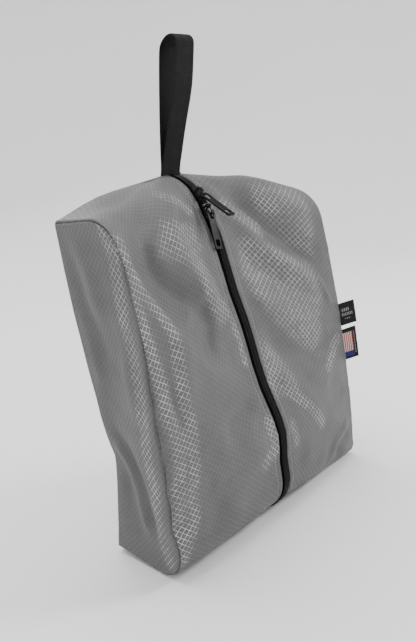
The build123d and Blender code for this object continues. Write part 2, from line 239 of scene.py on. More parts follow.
# A fold is its line as (X, Z) on the front, its height (negative for a valley), and its reach to the left
# and right of the line as it is followed.
FRONT_FOLDS = [
    # left of the zipper: the long valley from the top, the taut ridges beside it, and the slack below
    (((-64, 374), (-94, 344), (-112, 318), (-116, 296), (-100, 272), (-72, 250), (-62, 224)), -13.0, 13, 24),
    (((-28, 362), (-52, 338), (-68, 312), (-62, 286), (-40, 258), (-24, 230)), 7.0, 13, 15),
    (((-58, 254), (-54, 232), (-64, 208), (-70, 186)), -6.5, 9, 13),
    (((-112, 238), (-92, 206), (-70, 180), (-42, 156), (-24, 140)), 3.0, 15, 16),
    (((-140, 322), (-134, 286), (-120, 250), (-108, 222), (-112, 180), (-116, 140)), 3.6, 13, 13),
    (((-84, 116), (-54, 125), (-20, 138)), -3.0, 12, 15),
    (((-100, 150), (-84, 120), (-78, 80)), 2.0, 20, 20),
    (((-134, 200), (-131, 172), (-128, 142)), -2.6, 7, 8),
    (((-112, 100), (-104, 62), (-108, 30)), -2.0, 12, 12),
    # right of the zipper: folds that run out from the loop's foot
    (((24, 366), (44, 336), (64, 308), (88, 284), (112, 260), (128, 238)), -8.5, 15, 10),
    (((52, 364), (86, 344), (116, 318), (136, 288)), 4.0, 20, 18),
    (((24, 330), (44, 296), (68, 268), (98, 242), (118, 214)), 3.4, 11, 10),
    (((14, 300), (36, 270), (60, 246), (88, 224)), -2.6, 9, 9),
    (((16, 246), (44, 214), (76, 196), (108, 190)), 2.6, 13, 13),
    (((14, 204), (44, 172), (88, 154), (124, 158), (146, 172)), -5.0, 12, 15),
    (((12, 168), (36, 136), (66, 100), (84, 66)), 2.6, 12, 13),
    (((144, 54), (128, 46), (104, 38), (84, 20)), 3.4, 7, 4),
    (((146, 40), (120, 30), (100, 14)), -3.2, 9, 9),
    (((120, 240), (128, 218), (136, 196)), 2.2, 4, 4),
    (((104, 120), (120, 96), (138, 84)), -2.2, 13, 13),
    (((-20, 110), (-60, 70), (-90, 30)), 3.0, 22, 22),
    (((30, 60), (60, 44), (84, 26)), 2.6, 16, 16),
]
# The left panel rolls over its gusset's seam low down, and the loose edge puckers: (height, reach).
SEAM_PUCKERS = ((169, 8), (132, 8), (98, 9), (60, 11))
# The whole bag slumps in at its left back edge: (height, how far).
SLUMP = ((0, -3), (22, 3), (50, 9), (77, 15), (98, 19), (108, 20), (118, 17), (130, 14), (150, 11),
         (170, 10), (200, 7), (231, 5), (258, 3), (300, 2), (345, 2))
SLUMP_SIDEWAYS, SLUMP_FORWARD, CORNER_LIFT, SHOULDER_DROOP = 0.46, 0.52, 5.0, 2.0
# The zipper's line wanders to the left and right as it comes down the front: (height, how far). It runs
# straight where the sliders stand at either end of their travel.
WANDER = ((0, 0), (30, 0), (62, 0.5), (76, 4), (90, 6), (106, 4), (124, 0), (146, -5), (172, -7), (212, -6),
          (246, -7), (276, -4), (305, 0))


def panel_height(side, x, z, run, seam, back):
    """How far the cloth stands off the outline: x and z on the front, run along the wrap, and distances
    from the gusset seam and from the back's seams."""
    height = sum(fold(side * x, z, *line) for line in FRONT_FOLDS)
    height = height + 1.2 * noise(side * x, run, 46, 3) + 0.6 * noise(side * x, run, 21, 4)
    height = height + 2.0 * bump(x, 96, 34) * bump(z, 150, 120)
    free = smooth(2, 24, seam) * smooth(HEM_X + 7, HEM_X + 26, x) * smooth(3, 30, back)
    crimp = 0.8 * noise(side * x * 0.35, run, 8.5, 5) * np.exp(-seam / 9) * smooth(0, 4, seam)
    crimp = crimp + 0.7 * noise(side * x * 0.4, run, 7.5, 6) * bump(x, STITCH_X, 8)
    crimp = crimp * smooth(HEM_X, HEM_X + 4, x)
    if side < 0:
        puckers = sum(bump(z, *pucker) for pucker in SEAM_PUCKERS)
        crimp = crimp - 4.5 * puckers * np.exp(-((seam / 9) ** 2)) * smooth(0, 5, seam)
    return height * free + crimp * smooth(0, 8, back)


def slump(points):
    """Pushes the left back edge in, lets the right shoulder droop, and bends the zipper's line."""
    x, y, z = points.T
    drift = np.interp(z, *zip(*WANDER)) * np.exp(-((x / 75) ** 2)) * (1 - smooth(-10, 20, y))
    amount = np.interp(z, *zip(*SLUMP))
    near = 1 - smooth(-HALF_WIDTH, -70, x)
    behind = smooth(-34, BACK_Y, y)
    moved = points.copy()
    moved[:, 0] += SLUMP_SIDEWAYS * amount * near * behind + drift
    moved[:, 1] -= SLUMP_FORWARD * amount * near * behind
    moved[:, 2] += CORNER_LIFT * (1 - smooth(10, 90, z)) * near * behind
    moved[:, 2] -= SHOULDER_DROOP * smooth(80, HALF_WIDTH, x) * smooth(250, 340, z) * (1 - behind)
    moved[:, 2] = np.maximum(moved[:, 2], 0.0)
    return moved


# Where painted highlights brighten the grid threads, standing in for the light they catch: lines with a
# reach, and patches given by their corners.
PAINTED_GLINT_LINES = [
    (((-149, 322), (-149, 280), (-147, 237), (-143, 200), (-141, 167), (-136, 140), (-138, 118),
      (-144, 98), (-147, 70), (-149, 36)), 7),
    (((-146, 296), (-130, 268), (-114, 236), (-120, 200), (-120, 170), (-118, 150), (-120, 129),
      (-124, 108), (-130, 87), (-132, 63), (-141, 43), (-148, 26)), 6),
    (((-136, 150), (-132, 132)), 9),
    (((-58, 354), (-44, 346), (-26, 334)), 5),
    (((-50, 290), (-38, 264), (-30, 232)), 11),
    (((-20, 240), (-16, 202), (-16, 176)), 4),
    (((26, 332), (44, 318), (58, 302)), 8),
    (((12, 146), (32, 126), (58, 98), (78, 72)), 6),
    (((20, 94), (24, 72)), 5),
    (((-14, 108), (-11, 78), (-30, 70)), 7),
    (((138, 156), (110, 130)), 6),
]
PAINTED_GLINT_PATCHES = [
    ((-78, 332), (-32, 322), (-28, 296), (-60, 284), (-96, 302)),
    ((30, 300), (72, 278), (114, 252), (124, 226), (98, 147), (68, 172), (34, 214), (18, 262)),
    ((70, 352), (130, 337), (134, 302), (126, 260), (94, 284), (64, 330)),
    ((14, 198), (38, 166), (48, 122), (8, 132)),
]
GUSSET_PAINTED_GLINT = (((-37, 340), (-47, 311), (-44, 281), (-44, 254), (-47, 222), (-48, 190), (-44, 172),
                 (-41, 152), (-39, 119), (-41, 97), (-37, 72), (-37, 40), (-43, 21)), 8)


def painted_seam_shade(side, z, y, seam):
    """Painted shade in the groove where the left front seam is rolled under: 0 is none, -1 dark."""
    low = smooth(4, 40, z) * (1 - smooth(190, 290, z)) * (y < 0) * (side < 0)
    return -low * (1 - smooth(0.6, 3.4, seam))


def patch(x, z, corners):
    """1 inside a convex patch, falling off softly across its edges."""
    corners = np.array(corners, float)
    middle = corners.mean(0)
    inside = np.full(np.shape(x), 1e9)
    for start, end in zip(corners, np.roll(corners, -1, 0)):
        across = np.array([end[1] - start[1], start[0] - end[0]]) / np.hypot(*(end - start))
        across = across * np.sign((middle - start) @ across)
        inside = np.minimum(inside, (x - start[0]) * across[0] + (z - start[1]) * across[1])
    return smooth(-6, 6, inside)


def front_painted_glint(side, x, z, y):
    """How strongly the painted highlight brightens the grid threads at a point of the front."""
    value = np.zeros(np.shape(x))
    for line, reach in PAINTED_GLINT_LINES:
        away = abs(along_line(side * x, z, line)[0])
        value = np.maximum(value, 1 - smooth(0.6 * reach, 1.5 * reach, away))
    for corners in PAINTED_GLINT_PATCHES:
        value = np.maximum(value, 0.85 * patch(side * x, z, corners))
    return value * (y < 0.5 * BACK_Y) * (0.75 + 0.35 * noise(side * x, z, 17, 61))


# ---- seams


def seam_depth(side, z, y):
    """How far behind the front the gusset seam lies."""
    if side > 0:
        return np.full(np.shape(z), SEAM)
    rolled = smooth(15, 60, z) * (1 - smooth(150, 260, z)) * (y < 0)
    return SEAM + (4.6 + 0.9 * noise(z, 0 * z, 22, 9)) * rolled


EASE_STEPS = np.array((0.0, 0.2, 0.38, 0.54, 0.66, 0.76, 0.84, 0.91, 0.96, 1.0))
# Turns into a seam, as (distance inside the neighbour's face, distance behind its own face): the plain turn
# of both panels, and the front panel's and gusset's turns where the seam is 5 mm further back.
PLAIN_TURN = ((EASE, 0.0), (1.6, -0.5), (0.5, 0.3), (SEAM, SEAM))
ROLLED_FRONT = ((EASE, 0.0), (-2.0, -0.6), (-4.0, 6.0), (SEAM + 5, SEAM + 4.6))
ROLLED_GUSSET = ((EASE + 8, 0.0), (9.0, -0.8), (7.6, 2.6), (SEAM + 4.6, SEAM + 5))


def turn(k, depth, rolled):
    """A panel's turn into a seam at that depth: distances inside the neighbour's face and behind its own."""
    far = (depth - SEAM) / 5.0
    return tuple(
        bezier(tuple(p[i] for p in PLAIN_TURN), k) * (1 - far) + bezier(tuple(p[i] for p in rolled), k) * far
        for i in (0, 1)
    )


def body_turn(k, depth):
    return turn(k, depth, ROLLED_FRONT)


def gusset_turn(k, depth):
    """As body_turn, as (distance inside its own face, distance behind the front)."""
    behind, inset = turn(k, depth, ROLLED_GUSSET)
    return inset, behind


# ---- making meshes


def place(points):
    return (np.asarray(points, float).reshape(-1, 3) + SHIFT) / 1000


def thicken(piece, thickness, offset=-1):
    solid = piece.modifiers.new("thickness", "SOLIDIFY")
    solid.thickness, solid.offset = thickness / 1000, offset


def mesh_piece(name, points, faces, material, cloth=None, outward=None, thickness=0.0):
    """A mesh from points in mm. cloth is each point's place on its flat cloth, for the weave to follow,
    and may hold a third value: painted highlight on the threads, or painted shade where it is negative."""
    mesh = bpy.data.meshes.new(name)
    points = place(points)
    if outward is not None:
        a, b, c = (points[[f[n] for f in faces]] for n in range(3))
        if (np.cross(b - a, c - a).sum(0) @ np.array(outward)) < 0:
            faces = [f[::-1] for f in faces]
    mesh.from_pydata(points.tolist(), [], [tuple(int(v) for v in f) for f in faces])
    mesh.validate()
    if cloth is not None:
        cloth = np.asarray(cloth, np.float32).reshape(len(points), -1)
        values = np.zeros((len(points), 3), np.float32)
        values[:, : cloth.shape[1]] = cloth
        mesh.attributes.new("cloth", "FLOAT_VECTOR", "POINT").data.foreach_set("vector", values.ravel())
    mesh.shade_smooth()
    mesh.materials.append(material)
    piece = bpy.data.objects.new(name, mesh)
    bpy.context.scene.collection.objects.link(piece)
    if thickness:
        thicken(piece, thickness)
    return piece


def grid_faces(rows, columns, closed=False):
    faces = []
    for i in range(rows - 1):
        for j in range(columns if closed else columns - 1):
            a, b = i * columns + j, i * columns + (j + 1) % columns
            faces.append((a, b, b + columns, a + columns))
    return faces


def tube_faces(rows, ring):
    """Faces of a tube made of closed rings, with a cap at each end."""
    caps = [tuple(range(ring))[::-1], tuple(range((rows - 1) * ring, rows * ring))]
    return grid_faces(rows, ring, closed=True) + caps


def body_panel(name, side, material):
    """Left or right half of the wrap, from the hem beside the zipper to the gusset seam. Also gives the line
    and normals that its topstitching follows."""
    hem = [(9.5, 0.55), (7.4, 0.5), (6.6, 0.62), (HEM_X, 0.95), (6.55, 1.35), (7.2, 1.62), (8.2, 1.74)]
    hem += [(10.0, 1.74), (11.4, 1.68), (12.1, 1.45), (STITCH_X, 1.22), (13.1, 1.45), (13.9, 1.66)]
    columns = [(x, HEM_LEVEL - level, None) for x, level in hem]
    columns += [(x, 0.0, None) for x in np.arange(16, HALF_WIDTH - EASE - 1, 2.4)]
    columns += [(HALF_WIDTH - EASE * (1 - k), 0.0, k) for k in EASE_STEPS]
    middle = outline(side, 80.0)[0]
    runs = run_along(middle)
    last = len(middle) - 1
    inner = np.where(middle[:, 0] < BACK_Y - EASE - 1)[0]
    count = len(EASE_STEPS)
    index = np.concatenate([np.zeros(count, int), inner, np.full(count, last)])
    turned = np.concatenate([EASE_STEPS[::-1], np.zeros(len(inner)), EASE_STEPS])
    at_top, at_base = np.arange(len(index)) < count, np.arange(len(index)) >= count + len(inner)
    at_end = at_top | at_base
    ahead, down = body_turn(turned, SEAM)
    ahead, down = np.where(at_end, ahead, 0.0), np.where(at_end, down, 0.0)
    run = runs[index] + np.where(at_top, ahead, 0) - np.where(at_base, ahead, 0)
    back = np.where(at_end, EASE * (1 - turned), np.minimum(runs[index], runs[-1] - runs[index]))
    points, cloth, stitch = [], [], None
    for x, drop, k in columns:
        base, normal = (rows[index] for rows in outline(side, x))
        away = np.stack([-np.abs(normal[:, 1]), -np.abs(normal[:, 0])], 1)
        moved = base + away * ahead[:, None] - normal * down[:, None]
        seam_z = np.where(at_top, base[:, 1] - SEAM, base[:, 1] + SEAM)
        seam_at = np.stack([np.full(len(index), BACK_Y - SEAM), seam_z], 1)
        full = base + away * SEAM - normal * SEAM
        moved += (seam_at - full) * (np.where(at_end, turned, 0) ** 2)[:, None]
        seam = np.full(len(index), HALF_WIDTH - x if k is None else EASE * (1 - k))
        inset = seam
        if k is not None:
            inset, drop = body_turn(k, seam_depth(side, moved[:, 1], moved[:, 0]))
            drop = np.where(at_end, np.maximum(drop - down, 0), drop)
        across = HALF_WIDTH - inset
        lift = panel_height(side, across, moved[:, 1], run, seam, back)
        flat = moved + normal * (lift - drop)[:, None]
        column = np.column_stack([side * across, flat])
        points.append(column)
        # painted highlight on the threads of the front
        shine = front_painted_glint(side, across, flat[:, 1], flat[:, 0])
        # painted shade in the rolled left seam's groove, which takes the place of the painted highlight there
        shade = painted_seam_shade(side, flat[:, 1], flat[:, 0], seam)
        shine = np.where(shade < -0.02, shade, shine)
        cloth.append(np.column_stack([np.full(len(index), side * x), run, shine]))
        if x == STITCH_X:
            stitch = (slump(column), np.column_stack([0 * run, normal]))
    for n in range(len(columns) - count + 1, len(columns)):
        step = np.linalg.norm(points[n] - points[n - 1], axis=1).clip(0, 4)
        cloth[n][:, 0] = cloth[n - 1][:, 0] + side * step
    points = slump(np.concatenate(points))
    faces = grid_faces(len(columns), len(index))
    piece = mesh_piece(name, points, faces, material, np.concatenate(cloth), (0, -1, 0), CLOTH_THICKNESS)
    return piece, stitch


GUSSET_FOLDS = [
    # the long fold from the pushed-in back edge down to the toe, as (Y, Z), and slack near the top
    (((34, 132), (24, 120), (9, 106), (-6, 86), (-13, 61), (-19, 34)), 4.0, 9, 7),
    (((30, 150), (10, 122), (-14, 92), (-24, 58), (-30, 30)), -3.6, 9, 9),
    (((36, 100), (20, 76), (6, 44), (2, 20)), -2.6, 12, 12),
    (((38, 322), (28, 290), (14, 250), (8, 200)), -2.6, 13, 13),
    (((20, 336), (2, 300), (-8, 250)), 2.0, 12, 12),
    (((36, 262), (28, 220), (20, 180)), 2.4, 10, 12),
    (((-40, 240), (-30, 200), (-34, 150)), 1.6, 9, 9),
]


def gusset_height(side, y, z, edge):
    height = -3.0 * bump(z, 170, 130) * bump(y, 0, 34)
    for line in GUSSET_FOLDS:
        height = height + fold(y, z, *line, ends=0.2) * (1.0 if side < 0 else 0.5)
    height = height + 1.4 * noise(y, z, 38, 21 + side) + 0.6 * noise(y, z, 17, 31 + side)
    crimp = 0.8 * noise(y * 0.5, z, 8.5, 41) * np.exp(-edge / 9) * smooth(4, 8, edge)
    return height * smooth(5, 26, edge) + crimp


def gusset_rim(side):
    """The gusset's closed outline: the wrap from the back's top to its base, then up the back."""
    outline_p, outline_n = outline(side, HALF_WIDTH)
    inside = outline_p[:, 0] < BACK_Y - 0.5
    steps = 120
    up = np.linspace(outline_p[-1, 1], outline_p[0, 1], steps)
    points = np.concatenate([outline_p[inside], np.stack([np.full(steps, BACK_Y), up], 1)])
    normals = np.concatenate([outline_n[inside], np.tile([1.0, 0.0], (steps, 1))])
    return points, normals, np.arange(len(points)) >= inside.sum()


def rim_inset(rim, behind):
    """The rim moved in by a distance, with square corners at the back."""
    points, normals, on_back = rim
    moved = points - normals * np.broadcast_to(behind, len(points))[:, None]
    moved[:, 0] = np.minimum(moved[:, 0], BACK_Y - behind)
    low, high = points[on_back, 1].min() + behind, points[on_back, 1].max() - behind
    moved[:, 1] = np.where(on_back, np.clip(moved[:, 1], low, high), moved[:, 1])
    return moved


def gusset(name, side, material):
    """The flat rounded end of the bag: eased strips round the edge, and a triangulated middle."""
    rim = gusset_rim(side)
    count = len(rim[0])
    depth = np.where(rim[2], SEAM, seam_depth(side, rim[0][:, 1], rim[0][:, 0]))
    rings = []
    for k in EASE_STEPS[::-1]:
        inset, behind = gusset_turn(k, depth)
        rings.append(np.column_stack([HALF_WIDTH - inset, rim_inset(rim, behind)]))
    border = rings[-1][:, 1:]
    keep = spaced(border, 0.6)
    step = 3.4
    ys, zs = (np.arange(border[:, i].min(), border[:, i].max(), step) for i in (0, 1))
    lattice = np.array([(y, z) for z in zs for y in ys])
    gap = np.sqrt(((lattice[:, None] - border[None, keep]) ** 2).sum(2)).min(1)
    lattice = lattice[gap > step * 0.7]
    edges = [(n, (n + 1) % len(keep)) for n in range(len(keep))]
    corners = [Vector(border[n]) for n in keep] + [Vector(p) for p in lattice]
    made = delaunay_2d_cdt(corners, edges, [], 1, 1e-4)
    points = list(np.concatenate(rings))
    index = []
    for spot, originals in zip(made[0], made[3]):
        if originals and originals[0] < len(keep):
            index.append((len(rings) - 1) * count + keep[originals[0]])
        else:
            index.append(len(points))
            points.append(np.array([HALF_WIDTH, *spot]))
    faces = grid_faces(len(rings), count, closed=True) + [[index[v] for v in face] for face in made[2]]
    points = np.array(points)
    y, z = points[:, 1], points[:, 2]
    edge = np.sqrt(((points[:, None, 1:] - rim[0][None, ::2]) ** 2).sum(2)).min(1)
    # painted highlight on the threads along the gusset's rounded front edge, weaker on the right gusset
    line, reach = GUSSET_PAINTED_GLINT
    shine = 1 - smooth(0.6 * reach, 1.4 * reach, abs(along_line(y, z, line)[0]))
    shine = shine * (0.8 + 0.35 * noise(y, z, 15, 62)) * (1.0 if side < 0 else 0.6)
    points[:, 0] = side * (points[:, 0] + gusset_height(side, y, z, edge))
    piece = mesh_piece(name, slump(points), faces, material, np.column_stack([y, z, shine]))
    weld(piece, (side, 0, 0))
    thicken(piece, CLOTH_THICKNESS)
    return piece


def weld(piece, outward):
    """Joins doubled points, drops collapsed faces and turns every face outwards."""
    work = bmesh.new()
    work.from_mesh(piece.data)
    bmesh.ops.remove_doubles(work, verts=work.verts, dist=1e-5)
    bmesh.ops.dissolve_degenerate(work, edges=work.edges, dist=1e-6)
    bmesh.ops.recalc_face_normals(work, faces=work.faces)
    total = sum((f.normal * f.calc_area() for f in work.faces), Vector())
    if total.dot(Vector(outward)) < 0:
        bmesh.ops.reverse_faces(work, faces=work.faces)
    work.to_mesh(piece.data)
    work.free()


BACK_FOLDS = [
    (((0, 366), (-30, 320), (-70, 270), (-96, 220)), -4.5, 12, 18),
    (((6, 366), (34, 312), (60, 250), (74, 190)), 3.2, 16, 12),
    (((-132, 70), (-90, 96), (-40, 106)), 3.2, 12, 16),
    (((130, 60), (96, 84), (50, 90)), -3.6, 12, 10),
    (((-20, 200), (10, 150), (60, 120)), -2.8, 13, 16),
]


def back_edges(x):
    """Heights of the back's lower and upper edges at a signed X."""
    points = outline(-1 if x < 0 else 1, max(abs(x), HEM_X))[0]
    return points[-1, 1], points[0, 1]


def back_panel(name, material):
    flat = HALF_WIDTH - EASE
    inset, behind = gusset_turn(EASE_STEPS, SEAM)
    xs = np.concatenate([behind[::-1] - HALF_WIDTH, np.linspace(-flat, flat, 110)[1:-1], HALF_WIDTH - behind])
    side_inset = np.concatenate([inset[::-1], np.zeros(108), inset])
    zs = np.linspace(0, 1, 130)[3:-3]
    points, cloth = [], []
    for x, pulled in zip(xs, side_inset):
        low, high = back_edges(x)
        z = np.concatenate([low + behind[::-1], low + (high - low) * zs, high - behind])
        down = np.concatenate([inset[::-1], 0 * zs, inset])
        edge = np.minimum(HALF_WIDTH - abs(x), np.minimum(z - low, high - z))
        height = 1.8 * noise(x + 0 * z, z, 60, 51) + 0.9 * noise(x + 0 * z, z, 24, 52)
        height = height - 2.0 * bump(z, 190, 110)
        height = height + sum(fold(x + 0 * z, z, *line) for line in BACK_FOLDS)
        height = height * (1 - smooth(325, 350, z) * (1 - smooth(18, 40, abs(x))))
        crimp = 0.7 * noise(x + 0 * z, z, 9, 53) * np.exp(-edge / 9) * smooth(4, 8, edge)
        y = BACK_Y - np.maximum(down, pulled) + height * smooth(5, 36, edge) + crimp
        points.append(np.column_stack([x + 0 * z, y, z]))
        # painted highlight on the threads of the back, in soft random patches
        shine = 0.55 * smooth(-0.1, 0.8, noise(x * 0.7 + z * 0.4, z * 0.5 - x * 0.3, 34, 71))
        cloth.append(np.column_stack([x + 0 * z, z, shine * smooth(2, 20, edge)]))
    points = slump(np.concatenate(points))
    faces = grid_faces(len(xs), len(zs) + 2 * len(inset))
    return mesh_piece(name, points, faces, material, np.concatenate(cloth), (0, 1, 0), CLOTH_THICKNESS)


# ---- small pieces


def repeated(shape_points, shape_faces, frames):
    """Copies a small shape to each frame (origin, and the directions of its X, Y and Z)."""
    shape = np.asarray(shape_points, float)
    points, faces = [], []
    for n, (origin, *axes) in enumerate(frames):
        points.append(np.asarray(origin) + shape @ np.array(axes))
        faces += [tuple(v + n * len(shape) for v in face) for face in shape_faces]
    return np.concatenate(points), faces


def resample(points, extra, spacing, start=0.0):
    """Points at even spacing along a line of points, with the extra directions there and the line's own."""
    run = run_along(points)
    at = np.arange(start, run[-1], spacing)
    spots = np.stack([np.interp(at, run, points[:, i]) for i in range(3)], 1)
    values = np.stack([np.interp(at, run, extra[:, i]) for i in range(3)], 1)
    ahead = np.stack([np.interp(at + 0.5, run, points[:, i]) for i in range(3)], 1) - spots
    return spots, unit(values), unit(ahead)


STITCH_PITCH, STITCH_LENGTH, THREAD_RADIUS = 3.3, 2.5, 0.24


def stitches(name, line, normals, material):
    """A row of thread stitches that arch out of the cloth, along a line on its surface."""
    turns = np.linspace(0, 2 * math.pi, 6, endpoint=False)
    rings = []
    for k in np.linspace(-1, 1, 7):
        size = THREAD_RADIUS * math.sqrt(max(0.08, 1 - abs(k) ** 4))
        lift = 0.34 * (1 - k * k) - 0.12 + size * np.sin(turns)
        rings.append(np.column_stack([size * np.cos(turns), np.full(6, k * STITCH_LENGTH / 2), lift]))
    spots, out, ahead = resample(line, normals, STITCH_PITCH, STITCH_PITCH / 2)
    frames = [(p, np.cross(t, n), t, n) for p, n, t in zip(spots, out, ahead)]
    points, faces = repeated(np.concatenate(rings), tube_faces(len(rings), 6), frames)
    return mesh_piece(name, points, faces, material, points[:, :2])


def zipper_line(level, until=1.5):
    """The zipper's path at a level above its tapes, as points and normals with X = 0."""
    inside = ZIPPER.points[:, 0] < BACK_Y - until
    points, normals = ZIPPER.points[inside], ZIPPER.normals[inside]
    column = np.zeros(len(points))
    return np.column_stack([column, points + normals * level]), np.column_stack([column, normals])


def zipper_tape(name, side, material):
    line, normals = zipper_line(0.4)
    run = run_along(line)
    xs = [0.9, 1.1, 1.6, 2.4, 3.2, 4.0, 4.7, 5.2, 5.8, 6.6, 8.0, 10.0, 12.0, 13.6]
    points, cloth = [], []
    for x in xs:
        points.append(line + np.array([side * x, 0, 0]) - normals * 0.25 * bump(x, 4.7, 0.35))
        cloth.append(np.column_stack([np.full(len(line), side * x), run]))
    faces = grid_faces(len(xs), len(line))
    points = slump(np.concatenate(points))
    return mesh_piece(name, points, faces, material, np.concatenate(cloth), (0, -1, 0), thickness=0.7)


COIL_PITCH = 1.5


def zipper_coil(name, side, material):
    """Nylon coil, one rounded bar to a turn, with heads that reach between the other side's."""
    # along a bar: (distance from the zipper's middle, half its length along the zipper, half its height)
    stations = [(4.1, 0.18, 0.5), (3.9, 0.44, 0.95), (3.3, 0.52, 1.15), (1.8, 0.46, 1.12), (0.8, 0.50, 1.15),
                (0.1, 0.62, 1.2), (-0.25, 0.44, 0.9), (-0.32, 0.16, 0.5)]
    turns = np.linspace(0, 2 * math.pi, 8, endpoint=False)
    rings = [np.column_stack([np.full(8, x), half_length * np.cos(turns), half_height * np.sin(turns)])
             for x, half_length, half_height in stations]
    line, normals = zipper_line(1.55, until=3.5)
    start = 0.5 * COIL_PITCH * (0.5 if side < 0 else 1.5)
    spots, out, ahead = resample(slump(line), normals, COIL_PITCH, start)
    frames = [(p, (side, 0, 0), t, n) for p, n, t in zip(spots, out, ahead)]
    points, faces = repeated(np.concatenate(rings), tube_faces(len(rings), 8), frames)
    if side > 0:
        faces = [f[::-1] for f in faces]
    return mesh_piece(name, points, faces, material, points[:, :2])


LOOP_FOOT = np.array([0.0, 42.4, 379.0])
LOOP_LEAN = math.radians(16.0)
LOOP_LENGTH, LOOP_CROWN, WEBBING_WIDTH, WEBBING = 146.6, 14.5, 26.0, 1.5
RIB_PITCH, CORD_PITCH = 2.6, 1.9


def webbing(name, path, material):
    """Ribbed webbing with scalloped selvedges along a path through the middle of its thickness."""
    sideways = np.tile([1.0, 0.0, 0.0], (len(path), 1))
    path, sideways, ahead = resample(np.array(path), sideways, RIB_PITCH / 6)
    up = unit(np.cross(sideways, ahead))
    run = np.arange(len(path)) * RIB_PITCH / 6
    rib = np.abs(np.sin(math.pi * run / RIB_PITCH)) ** 0.7
    scallop = 0.35 * (np.abs(np.sin(math.pi * run / RIB_PITCH + 0.6)) - 0.5)
    across = np.concatenate([[-1, -0.985, -0.94], np.linspace(-0.88, 0.88, 15), [0.94, 0.985]])
    sections = [(a, 1) for a in across] + [(-a, -1) for a in across]
    rows, cloth = [], []
    for a, face in sections:
        edge = math.sqrt(max(0.0, 1 - abs(a) ** 14))
        cords = 0.05 * math.cos(a * WEBBING_WIDTH / 2 * 2 * math.pi / CORD_PITCH)
        half = edge * (WEBBING / 2 - 0.16 + 0.14 * rib + cords)
        wide = a * WEBBING_WIDTH / 2 + np.sign(a) * scallop * abs(a) ** 8
        rows.append(path + sideways * wide[:, None] + up * (face * half)[:, None])
        cloth.append(np.column_stack([np.full(len(run), a * WEBBING_WIDTH / 2), run]))
    faces = tube_faces(len(path), len(sections))
    piece = mesh_piece(name, np.stack(rows, 1), faces, material, np.stack(cloth, 1))
    weld(piece, (0, 0, 1))
    return piece


def loop_path():
    """Up the front leg, which bows out, round the crown and down the back leg. Both meet at the foot."""
    centre = LOOP_LENGTH - LOOP_CROWN - WEBBING / 2
    apart = WEBBING / 2 + 0.04
    tilt = math.asin((LOOP_CROWN - apart) / (centre - 8.0))
    leg = [(-apart, rise) for rise in (-5.0, -3.0, -1.0, 1.0, 3.0, 5.0, 6.5)]
    for k in np.linspace(0.02, 1, 24, endpoint=False):
        bow = 1.3 * math.sin(math.pi * k) + 0.5 * math.sin(2 * math.pi * k)
        rise = 8 + (centre + LOOP_CROWN * math.sin(tilt) - 8) * k
        spread = (LOOP_CROWN * math.cos(tilt) - apart) * smooth(-0.25, 1.15, k) * (0.92 + 0.08 * k)
        leg.append((-(apart + spread) - bow * 0.8, rise))
    crown = [(-LOOP_CROWN * math.cos(t), centre + LOOP_CROWN * math.sin(t))
             for t in np.linspace(tilt, math.pi - tilt, 30)]
    flat = [(y - 4.2 * bump(rise, 88.0, 30.0) * (y < 0), rise) for y, rise in leg + crown]
    flat += [(-y, rise) for y, rise in reversed(leg)]
    up = np.array([math.sin(LOOP_LEAN), 0, math.cos(LOOP_LEAN)])
    path = np.array([LOOP_FOOT + np.array([0, y, 0]) + up * rise for y, rise in flat])
    for _ in range(6):
        path[1:-1] = (path[:-2] + 2 * path[1:-1] + path[2:]) / 4
    return path


LABEL_SIZES = {"label_upper": (168.0, 27.0, 19.0), "label_lower": (125.0, 38.0, 16.5)}
LABEL_OUT = np.array([0.72, -0.694, 0.0])


def label(name, material):
    """A woven ribbon folded over on itself, with its ends sewn into the right front seam."""
    low, height, reach = LABEL_SIZES[name]
    facing = np.array([LABEL_OUT[1], -LABEL_OUT[0], 0.0])
    front = outline(1, HALF_WIDTH)[0]
    front = front[(front[:, 1] > 60) & (front[:, 1] < 300)][::-1]
    rows = np.linspace(0, height, 19)
    gap = 0.42
    run = [(u, 1, gap) for u in np.linspace(-2.0, reach - gap, 16)]
    run += [(reach - gap + gap * math.sin(t), math.cos(t), gap) for t in np.linspace(0.2, math.pi - 0.2, 9)]
    run += [(u, -1, gap) for u in np.linspace(reach - gap, -2.0, 16)]
    points, cloth = [], []
    for v in rows:
        y = float(np.interp(low + v, front[:, 1], front[:, 0]))
        seam = np.array([HALF_WIDTH - SEAM + 1.2, y + SEAM - 1.2, low + v])
        for u, offset, size in run:
            open_up = smooth(-1, 6, u)
            curl = 1.1 * (max(u, 0) / reach) ** 2 + 0.25 * math.sin(v * 0.35 + u * 0.2) * open_up
            rise = 3.4 * max(u, 0) / reach
            out = LABEL_OUT * u + facing * (offset * size * (0.5 + 0.5 * open_up) + curl)
            points.append(seam + out + np.array([0, 0, rise]))
            cloth.append((u, v / height, offset))
    faces = grid_faces(len(rows), len(run))
    piece = mesh_piece(name, points, faces, material, cloth)
    thicken(piece, 0.32, offset=0)
    return piece


BINDING_WIDTH, BINDING_THICKNESS = 9.0, 1.5


def binding(name, path, sideways, material):
    """Flat tape with rounded edges, whose face follows a path."""
    up = unit(np.cross(sideways, np.gradient(path, axis=0)))
    section = [(a, 0.5 * math.sqrt(max(0.0, 1 - abs(a) ** 6))) for a in np.linspace(-1, 1, 7)]
    section += [(a, -h) for a, h in section[-2:0:-1]]
    run = run_along(path)
    points, cloth = [], []
    for a, h in section:
        points.append(path + sideways * (a * BINDING_WIDTH / 2) + up * ((h - 0.5) * BINDING_THICKNESS))
        cloth.append(np.column_stack([np.full(len(path), a * BINDING_WIDTH / 2), run]))
    faces = tube_faces(len(path), len(section))
    piece = mesh_piece(name, np.stack(points, 1), faces, material, np.stack(cloth, 1))
    weld(piece, (0, 0, 1))
    return piece


